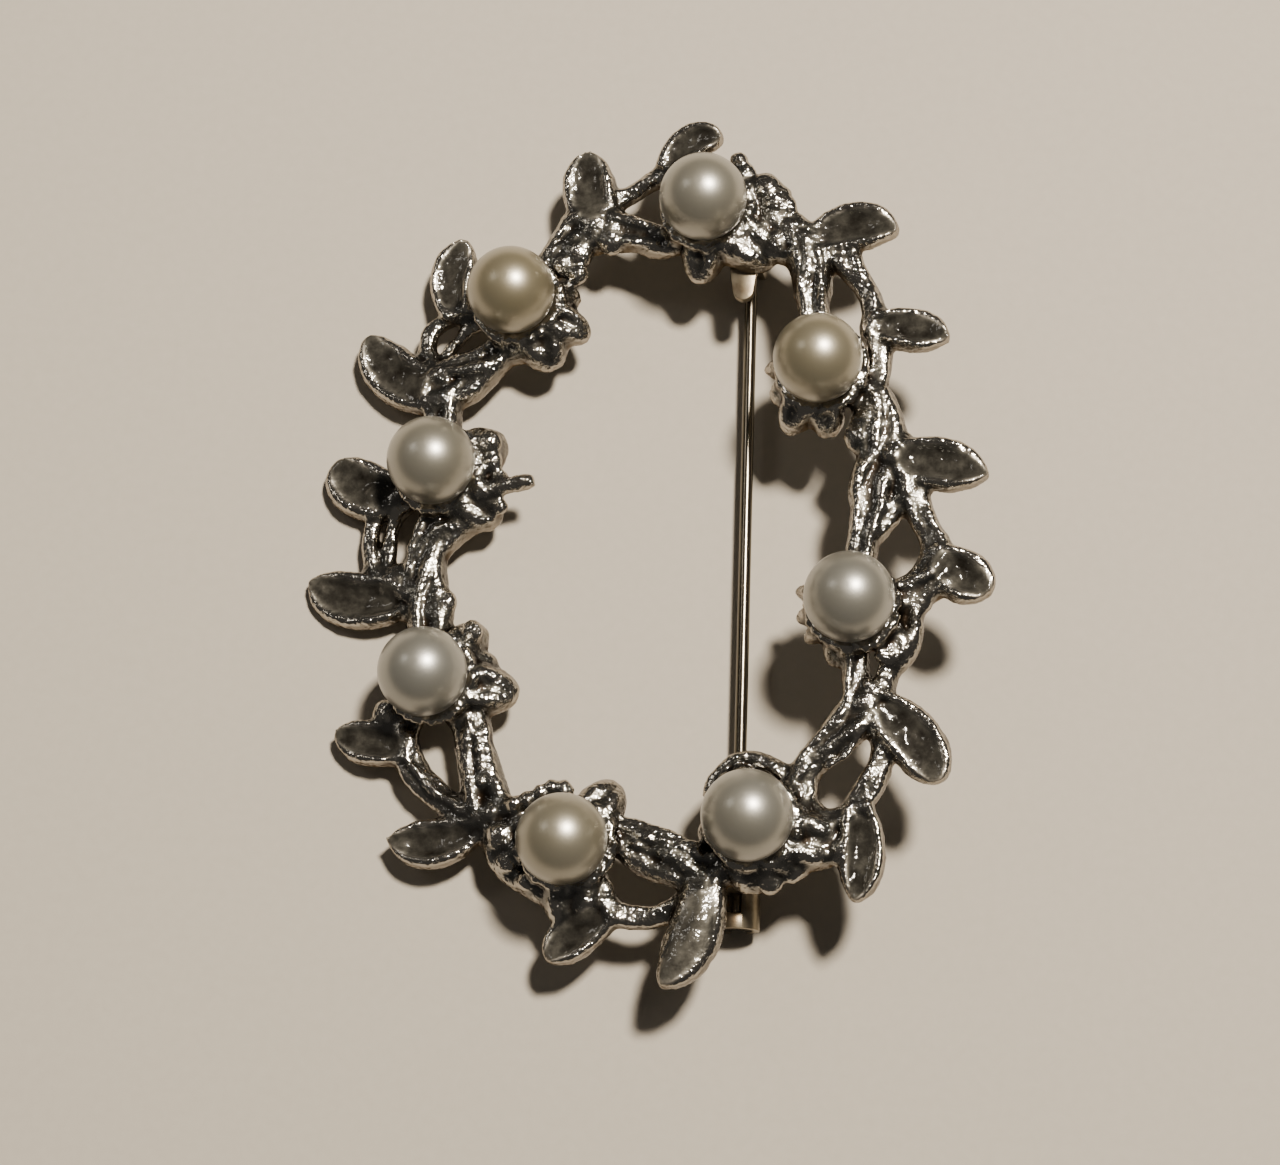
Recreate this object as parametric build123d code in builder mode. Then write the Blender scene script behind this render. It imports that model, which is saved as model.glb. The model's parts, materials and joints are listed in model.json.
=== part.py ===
"""Wreath brooch: an oval white-metal casting of leafy twigs that carries eight imitation pearls.

The casting is modelled flat, with its back on the plane Z = 0, its face towards +Z and its
long axis along Y. Behind it, towards -Z, are the soldered joint and catch and the pin stem.
At the end the brooch is laid down as it lies on a table: on the joint, the catch and the tip
of the leaf that reaches furthest left. Millimetres throughout.
"""

import os
from collections import namedtuple
from math import asin, atan2, cos, degrees, hypot, radians, sin, sqrt

from build123d import *

# The casting, over the tips of its leaves
wreath_length = 50.0  # along Y
wreath_width = 39.0  # along X

# Pearls and their cups
pearl_diameter = 5.0
glue_line = 0.04  # between a pearl and its seat
cup_floor = 0.8  # metal under a pearl
cup_height = 1.7  # from the back to the cup's rim
cup_lip = 0.55  # width of the rim outside the seat
cup_foot = 1.9  # radius at the back

# Twigs, leaves, petals and the peg
twig_width = 1.5  # at the back
twig_height = 1.25
leaf_width = 2.9
leaf_height = 1.15  # from the back of a leaf to its rim
petal_width = 1.7
petal_height = 1.5
draft = 0.2  # how far the walls lean in, as a share of the width at the back
leaf_draft = 0.1
peg_diameter = 0.75
peg_height = 1.3  # from the back to the peg's middle

# Pin stem
stem_diameter = 0.7
stem_depth = 3.2  # from the casting's back to the stem's axis
stem_across = 5.1  # from the wreath's middle to the stem's axis
stem_point = 3.3  # length of the sharpened end
point_diameter = 0.12
eye_diameter = 1.6
eye_thickness = 0.6
flat_reach = 1.55  # from the rivet to the end of the wire's flattened part
flat_width = 0.9  # at that end
flat_overlap = 0.1  # how far the round wire runs into the flattened part

# Joint: a stamped plate with a rounded tongue, and two ears that hold the rivet
joint_inset = 6.0  # from the wreath's top to the rivet
plate_thickness = 0.4
solder_bite = 0.15  # how deep the plates are sunk into the casting's back
tongue_width = 1.75
tongue_tip_width = 1.2
tongue_reach = 3.8  # from the rivet to the tongue's end
heel_reach = 1.35  # from the rivet to the plate's other end
ear_thickness = 0.4
ear_radius = 1.25
ear_play = 0.1  # between the eye and each ear
rivet_diameter = 0.7
rivet_play = 0.04  # radial, between the rivet and the eye
rivet_seat = 0.02  # radial, between the rivet and the ears, and under its heads
rivet_head_diameter = 1.15
rivet_head = 0.25

# Catch: two collars joined by a bridge, with a slotted roller inside them
catch_inset = 5.65  # from the wreath's foot to the middle of the catch
collar_length = 0.85
collar_gap = 1.1  # between the collars, where the thumb tab turns
collar_wall = 0.42
roller_wall = 0.36
roller_play = 0.05  # radial, between the roller and the collars
stem_play = 0.12  # radial, between the stem and the roller
slot_play = 0.12  # on each side of the stem, in the slots
stem_short = 0.25  # from the stem's point to the end of the catch
stalk_width = 1.3
catch_plate_width = 2.2
tab_reach = 0.75  # how far the thumb tab stands out of the roller
tab_length = 0.7
tab_thickness = 0.42
tab_play = 0.06  # between the tab and the edge that stops it
bridge_inset = 0.45  # from the collars' bore to the edge of the bridge

# Where the pearls are, clockwise from the top: across and up, as shares of half the wreath's
# width and length
Pearl = namedtuple("Pearl", "across up")
PEARLS = [
    Pearl(0.161, 0.813),
    Pearl(0.506, 0.416),
    Pearl(0.605, -0.136),
    Pearl(0.332, -0.618),
    Pearl(-0.186, -0.670),
    Pearl(-0.609, -0.295),
    Pearl(-0.617, 0.196),
    Pearl(-0.403, 0.601),
]

# The twigs: where each one passes, in the same shares, and its width at even steps as shares of
# twig_width. The first eight run from pearl to pearl, and the others loop outside them.
Twig = namedtuple("Twig", "first through last widths")
TWIGS = [
    Twig(PEARLS[0], [(0.320, 0.805), (0.405, 0.735), (0.435, 0.660), (0.462, 0.560)], PEARLS[1],
         [1.9, 2.1, 1.8, 1.4, 1.1, 1.0]),
    Twig(PEARLS[1], [(0.641, 0.335), (0.676, 0.256), (0.655, 0.135), (0.617, 0.015)], PEARLS[2],
         [1.0, 1.6, 1.6, 1.2, 1.1, 0.9]),
    Twig(PEARLS[2], [(0.619, -0.300), (0.634, -0.365), (0.523, -0.449), (0.420, -0.500)], PEARLS[3],
         [1.0, 1.3, 1.7, 1.4, 1.0, 0.9]),
    Twig(PEARLS[3], [(0.257, -0.717), (0.174, -0.743), (0.094, -0.721), (-0.030, -0.665)], PEARLS[4],
         [1.0, 1.2, 1.6, 1.5, 1.2, 1.0]),
    Twig(PEARLS[4], [(-0.353, -0.656), (-0.435, -0.610), (-0.482, -0.487), (-0.512, -0.389)], PEARLS[5],
         [1.0, 1.5, 1.5, 1.2, 1.1, 0.9]),
    Twig(PEARLS[5], [(-0.611, -0.134), (-0.645, -0.082), (-0.635, -0.012), (-0.616, 0.071)], PEARLS[6],
         [1.0, 1.5, 1.5, 1.2, 1.1, 1.0]),
    Twig(PEARLS[6], [(-0.636, 0.377), (-0.597, 0.425), (-0.520, 0.463), (-0.460, 0.500)], PEARLS[7],
         [1.0, 1.3, 1.5, 1.2, 1.1, 0.9]),
    Twig(PEARLS[7], [(-0.306, 0.714), (-0.197, 0.786), (-0.105, 0.763), (0.000, 0.780)], PEARLS[0],
         [1.0, 1.3, 1.7, 1.4, 1.1, 1.0]),
    Twig((0.480, 0.735), [(0.556, 0.695), (0.607, 0.635), (0.655, 0.560), (0.655, 0.440)], (0.641, 0.335),
         [1.0, 0.75, 0.7, 0.75, 1.0, 0.9]),
    Twig((0.690, 0.220), [(0.743, 0.165), (0.798, 0.074), (0.850, -0.010), (0.752, -0.097)], (0.640, -0.130),
         [1.0, 0.7, 0.65, 0.9, 0.8, 0.7]),
    Twig((0.660, -0.370), [(0.686, -0.445), (0.656, -0.510), (0.600, -0.590), (0.499, -0.615)], (0.400, -0.620),
         [1.0, 0.8, 0.8, 1.1, 1.0, 0.9]),
    Twig((0.185, -0.735), [(0.150, -0.795), (0.064, -0.818), (-0.035, -0.831), (-0.110, -0.780)], (-0.160, -0.710),
         [1.1, 0.8, 0.6, 0.7, 0.8, 0.8]),
    Twig((-0.420, -0.615), [(-0.508, -0.593), (-0.598, -0.562), (-0.660, -0.512), (-0.690, -0.425)],
         (-0.640, -0.340), [1.2, 1.1, 1.0, 0.9, 0.9, 0.8]),
    Twig((-0.640, -0.100), [(-0.767, -0.057), (-0.823, 0.014), (-0.820, 0.091), (-0.765, 0.133)], (-0.660, 0.180),
         [1.2, 1.0, 0.75, 0.7, 0.8, 0.8]),
    Twig((-0.640, 0.385), [(-0.695, 0.435), (-0.690, 0.515), (-0.643, 0.569), (-0.568, 0.592)], (-0.460, 0.600),
         [1.2, 0.8, 0.65, 0.7, 0.8, 0.8]),
    Twig((-0.635, -0.080), [(-0.615, 0.015), (-0.579, 0.060), (-0.513, 0.082)], (-0.457, 0.104),
         [1.0, 1.0, 1.0, 1.0, 1.0]),
    Twig((-0.190, 0.790), [(-0.133, 0.841), (-0.050, 0.896), (0.025, 0.920), (0.075, 0.900)], (0.130, 0.850),
         [1.0, 0.8, 0.6, 0.8, 0.9, 0.8]),
]

# The leaves: root and tip in the same shares, width as a share of leaf_width, how far the middle
# bows to the left as a share of the length, the heights of root and tip above the back as shares
# of leaf_height, and how deep the face is dished, where 1 is usual and below zero it is domed
Leaf = namedtuple("Leaf", "root tip width bow root_lift tip_lift dish")
LEAVES = [
    Leaf((0.520, 0.725), (0.715, 0.745), 1.00, 0.17, 0.1, 0.5, 1.0),
    Leaf((0.660, 0.540), (0.865, 0.480), 0.95, 0.06, 0.1, 0.4, 0.9),
    Leaf((0.720, 0.195), (0.980, 0.158), 1.00, 0.03, 0.1, 0.5, 1.0),
    Leaf((0.830, -0.030), (0.980, -0.114), 0.95, 0.05, 0.1, 0.4, 0.9),
    Leaf((0.680, -0.365), (0.873, -0.530), 1.25, -0.05, 0.1, 0.4, 1.0),
    Leaf((0.600, -0.600), (0.618, -0.780), 0.80, 0.08, 0.1, 0.3, 1.0),
    Leaf((0.190, -0.740), (0.083, -0.976), 1.10, 0.10, 0.1, 0.3, -0.8),
    Leaf((-0.050, -0.815), (-0.240, -0.925), 0.95, -0.03, 0.0, 0.2, 0.9),
    Leaf((-0.450, -0.630), (-0.715, -0.656), 0.85, 0.09, 0.0, 0.2, 1.1),
    Leaf((-0.665, -0.445), (-0.885, -0.413), 0.90, 0.05, 0.0, 0.2, 0.9),
    Leaf((-0.715, -0.085), (-0.995, -0.054), 1.10, 0.16, 0.0, 0.1, 1.1),
    Leaf((-0.760, 0.165), (-0.925, 0.232), 1.00, 0.25, 0.0, 0.2, 0.7),
    Leaf((-0.640, 0.400), (-0.858, 0.534), 1.00, 0.15, 0.0, 0.3, 0.8),
    Leaf((-0.550, 0.590), (-0.563, 0.753), 0.80, 0.18, 0.0, 0.3, 0.9),
    Leaf((-0.150, 0.795), (-0.196, 0.962), 1.10, 0.15, 0.1, 0.5, 0.9),
    Leaf((0.032, 0.918), (0.203, 1.000), 0.85, 0.20, 0.1, 0.8, 1.0),
]

# The petals round the cups: which pearl, the way the petal points in degrees from +X, how far it
# reaches from the pearl's middle as a share of the pearl's radius, and its width as a share of
# petal_width
Petal = namedtuple("Petal", "pearl points reach width")
PETALS = [
    Petal(1, 215, 1.35, 0.9), Petal(1, 262, 1.60, 1.1), Petal(1, 303, 1.50, 0.9), Petal(1, 320, 1.95, 1.5),
    Petal(1, 50, 1.35, 0.9),
    Petal(2, 173, 1.35, 0.5), Petal(2, 205, 1.30, 0.8), Petal(2, 238, 1.60, 1.0), Petal(2, 275, 1.50, 1.0),
    Petal(3, 160, 1.40, 0.5), Petal(3, 188, 1.30, 0.5), Petal(3, 213, 1.30, 0.5), Petal(3, 250, 1.35, 0.9),
    Petal(3, 320, 1.45, 1.0),
    Petal(4, 113, 1.40, 1.2), Petal(4, 190, 1.25, 0.8), Petal(4, 270, 1.50, 1.7), Petal(4, 30, 1.45, 1.2),
    Petal(4, 343, 2.05, 1.6), Petal(4, 320, 1.60, 1.4),
    Petal(5, 116, 1.45, 1.2), Petal(5, 56, 1.75, 1.3), Petal(5, 172, 1.75, 1.5), Petal(5, 275, 1.90, 1.7),
    Petal(6, 52, 1.70, 1.2), Petal(6, 20, 1.50, 0.9), Petal(6, 352, 1.95, 1.3), Petal(6, 318, 1.35, 0.9),
    Petal(7, 30, 1.65, 1.4), Petal(7, 355, 1.40, 1.0), Petal(7, 318, 1.80, 1.4), Petal(7, 280, 1.40, 1.2),
    Petal(8, 10, 1.40, 0.9), Petal(8, 335, 1.80, 1.1), Petal(8, 300, 1.75, 1.3), Petal(8, 265, 1.40, 1.2),
]

# The peg that points inwards beside the seventh pearl, in shares of the wreath
PEG_ROOT = (-0.500, 0.140)
PEG_TIP = (-0.333, 0.169)

# Outlines from root to tip: the width and the height of the rim there, as shares of the piece's
# own, and how far the middle of the face lies above (or, below zero, under) the rim
Step = namedtuple("Step", "along width height dish")
LEAF_STEPS = [
    Step(0.00, 0.42, 1.00, -0.10),
    Step(0.30, 0.88, 1.00, -0.30),
    Step(0.60, 1.00, 0.95, -0.35),
    Step(0.85, 0.72, 0.85, -0.30),
    Step(1.00, 0.26, 0.65, -0.10),
]
PETAL_STEPS = [
    Step(0.0, 0.90, 0.50, 0.05),
    Step(0.6, 1.00, 1.00, 0.10),
    Step(1.0, 0.60, 0.75, 0.12),
]
twig_crown = 0.33  # of a twig's rim height, above the rim
petal_start = 0.4  # where a petal starts, as a share of the pearl's radius

half_width = wreath_width / 2
half_length = wreath_length / 2
pearl_radius = pearl_diameter / 2
seat_radius = pearl_radius + glue_line
pearl_height = cup_floor + seat_radius  # from the back to a pearl's middle
stem_radius = stem_diameter / 2
rivet_radius = rivet_diameter / 2
roller_bore = stem_radius + stem_play
roller_radius = roller_bore + roller_wall
collar_bore = roller_radius + roller_play
collar_radius = collar_bore + collar_wall
catch_length = 2 * collar_length + collar_gap
slot_width = stem_diameter + 2 * slot_play
joint_up = half_length - joint_inset
catch_up = catch_inset - half_length
hinge = Vector(stem_across, joint_up, -stem_depth)
catch = Vector(stem_across, catch_up, -stem_depth)


def spot(place, height=0.0):
    """The point at a place given in shares of the wreath."""
    return Vector(place[0] * half_width, place[1] * half_length, height)


def cast_strip(path, steps, draft):
    """A solid along a path: a flat back, two leaning walls, and a crowned or dished face."""
    rings = []
    for along, width, height, dish in steps:
        middle, ahead = path @ along, path % along
        side = Vector(0, 0, 1).cross(ahead).normalized()
        rise = ahead.cross(side)
        back = width / 2
        rim = width * (0.5 - draft)
        section = [(-back, 0), (back, 0), (rim, height), (0, height + dish), (-rim, height)]
        rings.append([middle + side * out + rise * up for out, up in section])
    faces = [Face(Wire.make_polygon(rings[0])), Face(Wire.make_polygon(rings[-1]))]
    for ring, following in zip(rings, rings[1:]):
        for corner in range(len(ring)):
            a, b = ring[corner - 1], ring[corner]
            c, d = following[corner], following[corner - 1]
            faces += [Face(Wire.make_polygon([a, b, c])), Face(Wire.make_polygon([a, c, d]))]
    return Solid(Shell(faces))


def scaled(steps, width, height, dish=1.0):
    """The steps of an outline at a piece's own width, height and dish."""
    return [(s.along, s.width * width, s.height * height, s.dish * dish * height) for s in steps]


def twig(row):
    path = Spline([spot(place) for place in (row.first, *row.through, row.last)])
    steps = []
    for count, share in enumerate(row.widths):
        rim = twig_height * sqrt(share) / (1 + twig_crown)
        steps.append((count / (len(row.widths) - 1), share * twig_width, rim, rim * twig_crown))
    return cast_strip(path, steps, draft)


def leaf(row):
    root = spot(row.root, row.root_lift * leaf_height)
    tip = spot(row.tip, row.tip_lift * leaf_height)
    run = tip - root
    path = ThreePointArc(root, (root + tip) / 2 + Vector(-run.Y, run.X) * row.bow, tip)
    return cast_strip(path, scaled(LEAF_STEPS, row.width * leaf_width, leaf_height, row.dish), leaf_draft)


def petal(row):
    middle = spot(PEARLS[row.pearl - 1])
    ahead = Vector(cos(radians(row.points)), sin(radians(row.points))) * pearl_radius
    path = Line(middle + ahead * petal_start, middle + ahead * row.reach)
    return cast_strip(path, scaled(PETAL_STEPS, row.width * petal_width, petal_height), draft)


twigs = [twig(row) for row in TWIGS]
leaves = [leaf(row) for row in LEAVES]
petals = [petal(row) for row in PETALS]

# One cup: a solid of revolution, wider at its rim than at its foot
rim_radius = sqrt(seat_radius**2 - (pearl_height - cup_height) ** 2) + cup_lip
with BuildPart() as cup:
    with BuildSketch(Plane.XZ):
        Polygon((0, 0), (cup_foot, 0), (rim_radius, cup_height), (0, cup_height), align=None)
    revolve()

with BuildPart() as peg:
    peg_root, peg_tip = spot(PEG_ROOT, peg_height), spot(PEG_TIP, peg_height)
    with BuildSketch(Plane(peg_root, z_dir=peg_tip - peg_root)):
        Circle(peg_diameter / 2)
    extrude(amount=(peg_tip - peg_root).length)

# Joint, modelled round its rivet
ear_middle = eye_thickness / 2 + ear_play + ear_thickness / 2  # from the stem's axis
with BuildPart() as joint:
    with BuildSketch(Plane((stem_across, joint_up, -plate_thickness))):
        with BuildLine():
            half, tip_half = tongue_width / 2, tongue_tip_width / 2
            Polyline((-tip_half, tip_half - tongue_reach), (-half, -ear_radius), (-half, heel_reach),
                     (half, heel_reach), (half, -ear_radius), (tip_half, tip_half - tongue_reach))
            ThreePointArc((-tip_half, tip_half - tongue_reach), (0, -tongue_reach),
                          (tip_half, tip_half - tongue_reach))
        make_face()
    extrude(amount=plate_thickness + solder_bite)
    for side in (-1, 1):
        with BuildSketch(Plane(hinge + (side * ear_middle, 0, 0), x_dir=(0, 1, 0), z_dir=(1, 0, 0))):
            Circle(ear_radius)
            Rectangle(2 * ear_radius, stem_depth - plate_thickness / 2, align=(Align.CENTER, Align.MIN))
            Circle(rivet_radius + rivet_seat, mode=Mode.SUBTRACT)
        extrude(amount=ear_thickness / 2, both=True)

# Catch, modelled round the middle of its roller: the slot opens away from the casting, and a
# window between the collars lets the thumb tab turn from the left side up to the bridge
upper_collar = collar_gap / 2
with BuildPart() as catch_housing:
    with BuildSketch(Plane(catch, x_dir=(1, 0, 0), z_dir=(0, 1, 0))):
        Circle(collar_radius)
    extrude(amount=catch_length / 2, both=True)
    with BuildSketch(Plane(catch, x_dir=(0, 1, 0), z_dir=(1, 0, 0))):
        with Locations((upper_collar, 0)):
            Rectangle(collar_length, stem_depth - plate_thickness / 2, align=Align.MIN)
    extrude(amount=stalk_width / 2, both=True)
    with BuildSketch(Plane((stem_across, catch_up + upper_collar, -plate_thickness))):
        Rectangle(catch_plate_width, 2 * collar_length, align=(Align.CENTER, Align.MIN))
    extrude(amount=plate_thickness + solder_bite)
    with BuildSketch(Plane(catch, x_dir=(1, 0, 0), z_dir=(0, 1, 0))):
        Circle(collar_bore)
        Rectangle(slot_width, 2 * collar_radius, align=(Align.CENTER, Align.MIN))
    extrude(amount=catch_length, both=True, mode=Mode.SUBTRACT)
    with BuildSketch(Plane(catch, x_dir=(1, 0, 0), z_dir=(0, 1, 0))):
        with Locations((collar_bore - bridge_inset, tab_thickness / 2 + tab_play)):
            Rectangle(3 * collar_radius, 2 * collar_radius, align=Align.MAX)
    extrude(amount=collar_gap / 2, both=True, mode=Mode.SUBTRACT)

with BuildPart() as wreath:
    add([*twigs, *leaves, *petals, peg.part, joint.part, catch_housing.part])
    with Locations(*[spot(place) for place in PEARLS]):
        add(cup.part)
    with Locations(*[spot(place, pearl_height) for place in PEARLS]):
        Sphere(seat_radius, mode=Mode.SUBTRACT)

# Pin stem: a wire, flattened round its eye at the rivet and with a long point in the catch
stem_length = joint_up - (catch_up - catch_length / 2) - stem_short
with BuildPart() as pin_stem:
    with BuildSketch(Plane(hinge, x_dir=(0, -1, 0), z_dir=(0, 0, 1))):
        wire_start = flat_reach - flat_overlap
        Polygon((wire_start, 0), (wire_start, stem_radius), (stem_length - stem_point, stem_radius),
                (stem_length, point_diameter / 2), (stem_length, 0), align=None)
    revolve(axis=Axis(hinge, (0, 1, 0)))
    with BuildSketch(Plane(hinge, x_dir=(0, -1, 0), z_dir=(1, 0, 0))):
        Circle(eye_diameter / 2)
        Polygon((0, eye_diameter / 2), (flat_reach, flat_width / 2), (flat_reach, -flat_width / 2),
                (0, -eye_diameter / 2), align=None)
    extrude(amount=eye_thickness / 2, both=True)
    with BuildSketch(Plane(hinge, x_dir=(0, 1, 0), z_dir=(1, 0, 0))):
        Circle(rivet_radius + rivet_play)
    extrude(amount=eye_diameter, both=True, mode=Mode.SUBTRACT)

# Rivet: its heads are set just clear of the ears
head_start = ear_middle + ear_thickness / 2 + rivet_seat
with BuildPart() as pin_rivet:
    with BuildSketch(Plane(hinge, x_dir=(0, 1, 0), z_dir=(1, 0, 0))):
        Circle(rivet_radius)
    extrude(amount=head_start, both=True)
    for side in (-1, 1):
        with BuildSketch(Plane(hinge + (side * head_start, 0, 0), x_dir=(0, 1, 0), z_dir=(side, 0, 0))):
            Circle(rivet_head_diameter / 2)
        extrude(amount=rivet_head)
    fillet(pin_rivet.edges().group_by(Axis.X)[0] + pin_rivet.edges().group_by(Axis.X)[-1], rivet_head * 0.6)

# Roller: a slotted sleeve; its thumb tab turns between the collars
with BuildPart() as catch_roller:
    with BuildSketch(Plane(catch, x_dir=(1, 0, 0), z_dir=(0, 1, 0))):
        Circle(roller_radius)
    extrude(amount=catch_length / 2, both=True)
    with BuildSketch(Plane(catch, x_dir=(1, 0, 0), z_dir=(0, 1, 0))):
        Rectangle(roller_radius + tab_reach, tab_thickness, align=(Align.MAX, Align.CENTER))
    extrude(amount=tab_length / 2, both=True)
    with BuildSketch(Plane(catch, x_dir=(1, 0, 0), z_dir=(0, 1, 0))):
        Circle(roller_bore)
        Rectangle(slot_width, 2 * roller_radius, align=(Align.CENTER, Align.MIN))
    extrude(amount=catch_length, both=True, mode=Mode.SUBTRACT)

pieces = {"wreath": wreath, "pin_stem": pin_stem, "pin_rivet": pin_rivet, "catch_roller": catch_roller}
for count, place in enumerate(PEARLS, 1):
    with BuildPart() as pearl:
        with Locations(spot(place, pearl_height)):
            Sphere(pearl_radius)
    pieces[f"pearl_{count}"] = pearl

# The table touches the catch's collars and the tip of the leaf that reaches furthest left
resting_leaf = min(LEAVES, key=lambda row: row.tip[0])
foot = spot(resting_leaf.tip, resting_leaf.tip_lift * leaf_height)
reach, drop = catch.X - foot.X, catch.Z - foot.Z
lean = degrees(asin(collar_radius / hypot(reach, drop)) - atan2(drop, reach))
leaned = Rotation(0, -lean, 0)
box = Compound([leaned * piece.part for piece in pieces.values()]).bounding_box()
rest = Pos(-box.center().X, -box.center().Y, -box.min.Z) * leaned

os.makedirs("parts", exist_ok=True)
for name, piece in pieces.items():
    piece.part.location = rest
    piece.part.label = name
    export_step(piece.part, f"parts/{name}.step")
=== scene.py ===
"""Looks of the wreath brooch: an antiqued silver-tone casting, eight imitation pearls and a pin."""

import json
import random
from collections import namedtuple
from math import cos, pi, radians, sin

import bpy
import numpy as np
from mathutils import Matrix, Vector, noise


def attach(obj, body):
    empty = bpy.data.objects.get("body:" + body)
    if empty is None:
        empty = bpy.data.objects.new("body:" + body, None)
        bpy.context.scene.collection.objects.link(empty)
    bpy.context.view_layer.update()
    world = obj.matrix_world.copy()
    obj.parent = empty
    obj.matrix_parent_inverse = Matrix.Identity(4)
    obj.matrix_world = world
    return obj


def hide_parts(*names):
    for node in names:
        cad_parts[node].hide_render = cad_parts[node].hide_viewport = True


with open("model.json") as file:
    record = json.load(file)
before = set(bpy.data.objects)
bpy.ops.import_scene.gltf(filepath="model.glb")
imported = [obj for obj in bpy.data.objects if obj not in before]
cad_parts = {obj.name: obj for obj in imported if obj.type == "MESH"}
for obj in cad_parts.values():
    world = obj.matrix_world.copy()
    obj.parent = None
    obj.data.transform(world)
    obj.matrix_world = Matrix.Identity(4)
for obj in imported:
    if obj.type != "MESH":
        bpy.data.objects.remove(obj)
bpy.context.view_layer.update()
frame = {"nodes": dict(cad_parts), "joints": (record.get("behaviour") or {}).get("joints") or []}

# Twigs: bands and thin loops that run from pearl to pearl and outside them. On the real brooch
# they are one pour of white metal with all the leaves and cups, carved in the wax with cupped
# faces, raised edges and strands that wind round each other.
TAU = 2 * pi
half_width, half_length = 19.5, 25.0  # of the wreath, in millimetres like every size below
twig_width, twig_height = 1.5, 1.25
rim_share = 0.84  # how high a twig's raised edges stand, as a share of twig_height
groove_depth = 0.30  # between the edges of a twig, for each width that it has past 0.85
strand_level, strand_spread = 0.70, 0.30  # shares of the twig's height and width
casting_points, casting_faces = [], []
chance = random.Random(8)

# Where the pearls are, clockwise from the top: across and up, as shares of half the wreath
PEARLS = [(0.161, 0.813), (0.506, 0.416), (0.605, -0.136), (0.332, -0.618),
          (-0.186, -0.670), (-0.609, -0.295), (-0.617, 0.196), (-0.403, 0.601)]

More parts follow.
